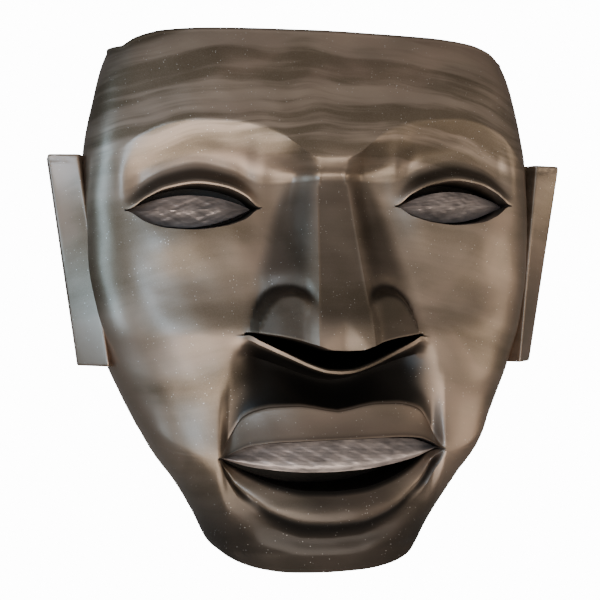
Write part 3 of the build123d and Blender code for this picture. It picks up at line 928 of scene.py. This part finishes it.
@dataclass
class HollowOutline:
    """The edge of the hollow in the rear rim: a flat top, full sides and a narrow foot."""

    half: Profile = field(default_factory=lambda: Profile(
        (22, 56), (45, 64), (80, 67), (117, 60), (147, 44), (168, 26), (176, 12)))
    top: float = 22.0
    foot: float = 176.0

    def at(self, angle: Grid, centre: tuple[float, float]) -> tuple[Grid, Grid]:
        """Where the outline lies in each direction from a centre, found on a fine closed polygon."""
        down = np.linspace(self.top, self.foot, 400)
        half = self.half(down)
        flat = np.linspace(0, 1, 60)[:-1]
        x = np.concatenate([flat * half[0], half, half[-1] * (1 - flat)])
        d = np.concatenate([np.full(59, self.top), down, np.full(59, self.foot)])
        x, d = np.concatenate([x, -x[::-1]]), np.concatenate([d, d[::-1]])
        turn = np.arctan2(x - centre[0], -(d - centre[1]))
        far = np.hypot(x - centre[0], d - centre[1])
        order = np.argsort(turn)
        reach = np.interp(angle, turn[order], far[order], period=2 * math.pi)
        return centre[0] + reach * np.sin(angle), centre[1] - reach * np.cos(angle)

    def depth(self, down: Grid) -> Grid:
        """How deep the bowl is at each height."""
        return Profile((22, 26), (45, 32), (80, 36), (117, 37), (147, 35), (176, 24))(down)


@dataclass
class Ear:
    """A slab ear: six-sided sections that lean back towards the outside, carried down the side of the head.

    aside: how far the right ear stands further out to the side and further forward, in millimetres.
    """

    side: Side
    top: float = 45.5
    foot: float = 117.0
    rows: int = 90
    corner: float = 0.9
    aside: tuple[float, float] = (1.3, 2.0)

    def build(self) -> bpy.types.Object:
        """Returns the ear as a closed piece.

        Each section is a polygon with rounded corners, which move in straight lines from the top section to
        the foot section. The ends are closed by rings that shrink to the section's middle.
        """
        start = np.array([(84.6, 31.4), (95.0, 29.0), (94.2, 17.5), (70.0, 14.0), (70.0, 22.0), (82.6, 26.0)])
        end = np.array([(75.2, 38.0), (84.6, 25.6), (83.2, 13.8), (62.0, 12.0), (62.0, 24.0), (72.0, 31.0)])
        share = np.linspace(0, 1, self.rows)[:, None, None]
        corners = start[None] * (1 - share) + end[None] * share
        ring = self._rounded(corners)
        down = np.broadcast_to(mix(self.top, self.foot, share[:, :, 0]), ring.shape[:2])
        middle = ring.mean(axis=1, keepdims=True)
        near = 1.0 - 0.05 * (1 - np.sin(np.linspace(0, QUARTER_TURN, 4)))
        cap_in = np.linspace(0, 0.95, 4)[:-1]
        shrink = np.concatenate([cap_in, near])
        lift = np.concatenate([0 * cap_in, self.corner * (1 - np.cos(np.linspace(0, QUARTER_TURN, 4)))])
        upper = middle[0] + (ring[0] - middle[0]) * shrink[:, None, None]
        lower = middle[-1] + (ring[-1] - middle[-1]) * shrink[::-1, None, None]
        ones = np.ones(ring.shape[1])
        rings = np.concatenate([upper, ring[1:-1], lower])
        head = (self.top - self.corner + lift)[:, None] * ones
        heel = (self.foot + self.corner - lift[::-1])[:, None] * ones
        heights = np.concatenate([head, down[1:-1], heel])
        rings = rings + (np.array(self.aside) if self.side is Side.RIGHT else np.zeros(2))
        across, out = rings[..., 0] * self.side.value, rings[..., 1]
        points = np.stack([across, heights, out], -1)
        chips = waves(points, 9.0, 11 + self.side.value, 3)
        edge = ease(2.5, 0.0, np.abs(heights - self.top)) + ease(2.5, 0.0, np.abs(heights - self.foot))
        out = out - 0.8 * edge * np.clip(chips, 0, 1)
        ear = Patch(place(across, heights, out), around=True)
        return piece_from(f"ear_{self.side.name.lower()}", [ear], sharp=38.0)

    def _rounded(self, corners: Grid) -> Grid:
        """Points round polygons: straight sides, and a quadratic curve across each corner."""
        before, after = np.roll(corners, 1, axis=1), np.roll(corners, -1, axis=1)
        back = before - corners
        ahead = after - corners
        back = corners + back / np.linalg.norm(back, axis=-1, keepdims=True) * self.corner
        ahead = corners + ahead / np.linalg.norm(ahead, axis=-1, keepdims=True) * self.corner
        t = np.linspace(0, 1, 6)[None, None, :, None]
        curve = back[:, :, None] * (1 - t) ** 2 + 2 * corners[:, :, None] * t * (1 - t)
        curve = curve + ahead[:, :, None] * t**2
        gap = np.roll(back, -1, axis=1)[:, :, None]
        s = np.linspace(0, 1, 14)[None, None, 1:-1, None]
        straight = ahead[:, :, None] * (1 - s) + gap * s
        loop = np.concatenate([curve, straight], axis=2)
        return loop.reshape(corners.shape[0], -1, 2)


@dataclass
class EyeInlay:
    """One almond inlay: a flat back on the socket's floor, and two facets that meet in a crease."""

    side: Side
    middle: float = 47.5
    down: float = 62.8
    turn: float = 10.0
    floor: float = 35.0
    length: float = 43.6
    rise: float = 5.4
    drop: float = 5.7
    rim: float = 6.0
    crease: float = 9.6
    ridge: float = 0.05

    def build(self) -> bpy.types.Object:
        """Returns the inlay.

        With u along the eye and w across it, both -1 to 1, the outline is rise * (1 - u^2) * w, with drop for
        rise below the middle. The thickness is rim + (crease - rim) * (1 - |w - ridge|) * (1 - u^4), plus low
        tool marks.
        """
        u = np.sin(np.linspace(-QUARTER_TURN, QUARTER_TURN, 121))[:, None]
        w = np.linspace(-1, 1, 41)[None, :]
        along = self.length / 2 * u + 0 * w
        up = (1 - u * u) * np.where(w > 0, self.rise, self.drop) * w
        points = np.stack([along, up * 2.2], -1)
        marks = 0.30 * waves(points, 7.0, 21 + self.side.value, 3) * (1 - np.abs(w) ** 6)
        facets = (self.crease - self.rim) * (1 - np.abs(w - self.ridge)) * (1 - u**4)
        thick = self.rim + facets + marks * (1 - u**6)
        front = self._set(along, up, thick)
        back = self._set(along, up, 0 * thick + SEAT)
        s = np.linspace(0, 1, 6)[None, :]
        grids = [front, back]
        for k in (0, -1):
            column = [g[:, [k]] + 0 * s for g in (along, up)]
            grids.append(self._set(*column, mix(thick[:, [k]], SEAT, s)))
        return piece_from(f"eye_stone_{self.side.name.lower()}", [Patch(g) for g in grids], sharp=28.0)

    def _set(self, along: Grid, up: Grid, thick: Grid) -> Grid:
        """Puts points that are measured on the socket's floor into the frame."""
        angle = math.radians(self.turn)
        across = self.side.value * (self.middle + along * math.cos(angle) + thick * math.sin(angle))
        out = self.floor - along * math.sin(angle) + thick * math.cos(angle)
        return place(across, self.down - up + lean(across, self.down + 0 * across), out)


@dataclass
class MouthInlay:
    """The stone plate between the lips: an almond that leans forward at its lower edge."""

    half: float = 39.2
    floor: float = 46.0

    def build(self) -> bpy.types.Object:
        """Returns the plate.

        The upper edge lies just under the upper lip and the lower edge bows down in the middle. The thickness
        grows from the upper edge to a crease above the lower edge, then falls to it.
        """
        u = np.sin(np.linspace(-QUARTER_TURN, QUARTER_TURN, 161))[:, None]
        w = np.linspace(0, 1, 37)[None, :]
        along = self.half * u + 0 * w
        far = np.abs(along)
        top = Profile((0, 143.6), (20, 143.8), (30, 144.6), (35, 146.0), (39.2, 147.6))(far)
        low = Profile((0, 154.2), (10, 153.9), (20, 152.8), (30, 151.0), (35, 149.4), (39.2, 147.8))(far)
        down = mix(top, low, w)
        down = down + lean(along, down)
        points = np.stack([along, down * 2.0], -1)
        marks = 0.28 * waves(points, 10.0, 31, 3)
        full = 1 - (far / self.half) ** 6
        face = Profile((0, 7.2), (0.3, 8.6), (0.8, 10.9), (1.0, 10.0))(w) - 4.6 * (far / self.half) ** 2
        thick = face + marks * full * np.sin(math.pi * w) ** 0.5
        grid = [place(along, down, self.floor + thick), place(along, down, self.floor + SEAT + 0 * thick)]
        s = np.linspace(0, 1, 6)[None, :]
        for k in (0, -1):
            column = [g[:, [k]] + 0 * s for g in (along, down)]
            grid.append(place(*column, self.floor + mix(thick[:, [k]], SEAT, s)))
        return piece_from("mouth_stone", [Patch(g) for g in grid], sharp=30.0)


# ---- the studio ---------------------------------------------------------------------------------------
@dataclass
class Studio:
    """A pale floor, soft lamps and the camera."""

    target: tuple[float, float, float] = (0.0, -0.0094, -0.075)
    distance: float = 0.550
    azimuth: float = -15.5
    lens: float = 88.5

    def build(self) -> None:
        """Makes the room, the lamps and the camera."""
        self._room()
        self._lamp("front", (-0.02, -1.15, -0.62), (1.20, 0.95), 14.0, (1.0, 0.93, 0.87))
        self._lamp("window", (-0.52, -0.95, 0.02), (0.30, 0.36), 3.2, (0.42, 0.68, 1.0))
        self._lamp("pane", (-1.08, -0.20, 0.02), (0.40, 0.60), 5.0, (0.45, 0.72, 1.0))
        self._lamp("warm", (0.80, -0.38, -0.12), (0.35, 0.35), 1.0, (1.0, 0.86, 0.70))
        self._lamp("behind", (0.35, 1.30, 0.45), (0.90, 0.90), 10.0, (1.0, 0.97, 0.94))
        self._camera()

    def _room(self) -> None:
        """A flat floor, well below the mask."""
        x, y = np.meshgrid(np.linspace(-6.0, 6.0, 9), np.linspace(-6.0, 6.0, 9))
        points = np.stack([x, y, 0 * x - 2.2], -1)
        mesh = bpy.data.meshes.new("studio_sweep")
        mesh.from_pydata(points.reshape(-1, 3), [], grid_faces(*points.shape[:2]))
        sweep = bpy.data.objects.new("studio_sweep", mesh)
        bpy.context.scene.collection.objects.link(sweep)
        n = Nodes("pale_paper")
        fleck = n.noise(n.coordinates(), 40.0)
        seen = n.add("ShaderNodeLightPath", output="Is Camera Ray")
        paper = n.blend(fleck, (0.80, 0.80, 0.80), (0.84, 0.84, 0.84))
        glow = n.blend(seen, (0.0, 0.0, 0.0), (1.0, 1.0, 1.0))
        material = n.surface(Base_Color=paper, Roughness=0.9, Emission_Color=glow, Emission_Strength=2.0)
        mesh.materials.append(material)
        sweep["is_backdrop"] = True

    def _lamp(self, name: str, at: tuple, size: tuple[float, float], power: float, colour: tuple) -> None:
        """Adds a soft lamp, wide by tall, that faces the mask."""
        lamp = bpy.data.lights.new(name, "AREA")
        lamp.shape, lamp.energy, lamp.color = "RECTANGLE", power, colour
        lamp.size, lamp.size_y = size
        made = bpy.data.objects.new(name, lamp)
        made.location = at
        made.rotation_euler = (Vector(self.target) - Vector(at)).to_track_quat("-Z", "Y").to_euler()
        bpy.context.scene.collection.objects.link(made)

    def _camera(self) -> None:
        """Adds the camera at the viewing angle."""
        angle = math.radians(self.azimuth)
        target = Vector(self.target)
        back = Vector((math.sin(angle), -math.cos(angle), 0.0))
        data = bpy.data.cameras.new("camera")
        data.lens, data.sensor_width = self.lens, 36.0
        data.clip_start, data.clip_end = 0.01, 20.0
        camera = bpy.data.objects.new("camera", data)
        camera.location = target + back * self.distance
        camera.rotation_euler = (-back).to_track_quat("-Z", "Y").to_euler()
        bpy.context.scene.collection.objects.link(camera)
        bpy.context.scene.camera = camera


@dataclass
class Sky:
    """Soft light by height: bright around eye level in front, dim overhead, and plain white where seen."""

    seen: float = 14.0
    stops: tuple[tuple[float, float], ...] = (
        (0.05, 0.01), (0.22, 0.5), (0.40, 0.70), (0.50, 0.58), (0.62, 0.52), (0.74, 0.52), (0.86, 0.20),
        (1.0, 0.05))
    tint: tuple[float, float, float] = (1.0, 0.95, 0.90)

    def build(self) -> None:
        """Sets the world: a ramp over height, times a fall from front to back, or white for the camera."""
        world = bpy.data.worlds.new("sky")
        world.use_nodes = True
        n = Nodes("sky_maths", world.node_tree)
        where = n.add("ShaderNodeTexCoord", output="Generated")
        height = n.add("ShaderNodeSeparateXYZ", None, {0: where}, output=2)
        depth = n.add("ShaderNodeSeparateXYZ", None, {0: where}, output=1)
        stops = [(at, tuple(light * t for t in self.tint)) for at, light in self.stops]
        light = n.add("ShaderNodeValToRGB", {"stops": stops}, {0: height * 0.5 + 0.5})
        light = n.blend(depth.clamped(-0.95, 0.3) * 0.8, light, (0.0, 0.0, 0.0))
        seen = n.add("ShaderNodeLightPath", output="Is Camera Ray")
        shade = n.add("ShaderNodeBackground", None, {"Color": n.blend(seen, light, (self.seen,) * 3)})
        n.tree.links.new(shade.socket, n.sheet.inputs["Surface"])
        bpy.context.scene.world = world


# ---- dressing -----------------------------------------------------------------------------------------
@dataclass
class Fittings:
    """The hanger and the pads, kept from the solid model and dressed."""

    nodes: dict[str, bpy.types.Object]
    finishes: dict[str, PlatedSteel | TurnedBrass | PressedFelt] = field(default_factory=lambda: {
        "hanger_plate": PlatedSteel(),
        "hanging_ring": PlatedSteel(lines=(300.0, 9000.0, 300.0), rough=0.22),
        "hanger_screw": PlatedSteel(tint=(0.50, 0.49, 0.47), rough=0.25),
        "anchor_sleeve": TurnedBrass(),
        "felt_pad": PressedFelt(),
    })

    def dress(self) -> None:
        """Gives every kept node its finish."""
        for stem, finish in self.finishes.items():
            material = finish.material(f"{stem}_finish")
            for name, node in self.nodes.items():
                if name.startswith(stem):
                    node.data.materials.clear()
                    node.data.materials.append(material)
                    LOG.info("dressed %s", name)


@dataclass
class Stonework:
    """The carved shell, its ears and the inlays."""

    def build(self) -> None:
        """Builds each stone piece, dresses it and ties it to the mask's body."""
        sheen = PolishedSheenStone().material("polished_sheen_stone")
        sawn = SawnStone().material("sawn_stone")
        self._finish(CarvedFace().build(), sheen, "carved_stone", "mask_shell")
        for side in Side:
            self._finish(Ear(side).build(), sheen, "carved_stone", "mask_shell")
            self._finish(EyeInlay(side).build(), sawn, "inlay_stone", f"eye_inlay_{side.name.lower()}")
        self._finish(MouthInlay().build(), sawn, "inlay_stone", "mouth_inlay")

    def _finish(self, piece: bpy.types.Object, material: bpy.types.Material, slot: str, node: str) -> None:
        """Ties one piece to the mask and puts it in its node's place."""
        piece.data.materials.append(material)
        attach(piece, "mask")
        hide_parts(node)
        LOG.info("%s: %d faces", piece.name, len(piece.data.polygons))


def corners() -> list[list[float]]:
    """Returns the shown object's lowest and highest corner, in metres."""
    return [[round(v, 5) for v in corner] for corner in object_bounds()]


def main() -> None:
    """Builds the looks in order."""
    logging.basicConfig(level=logging.INFO, format="%(message)s")
    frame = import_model()
    Stonework().build()
    Fittings(frame["nodes"]).dress()
    Studio().build()
    Sky().build()


if __name__ == "__main__":
    main()
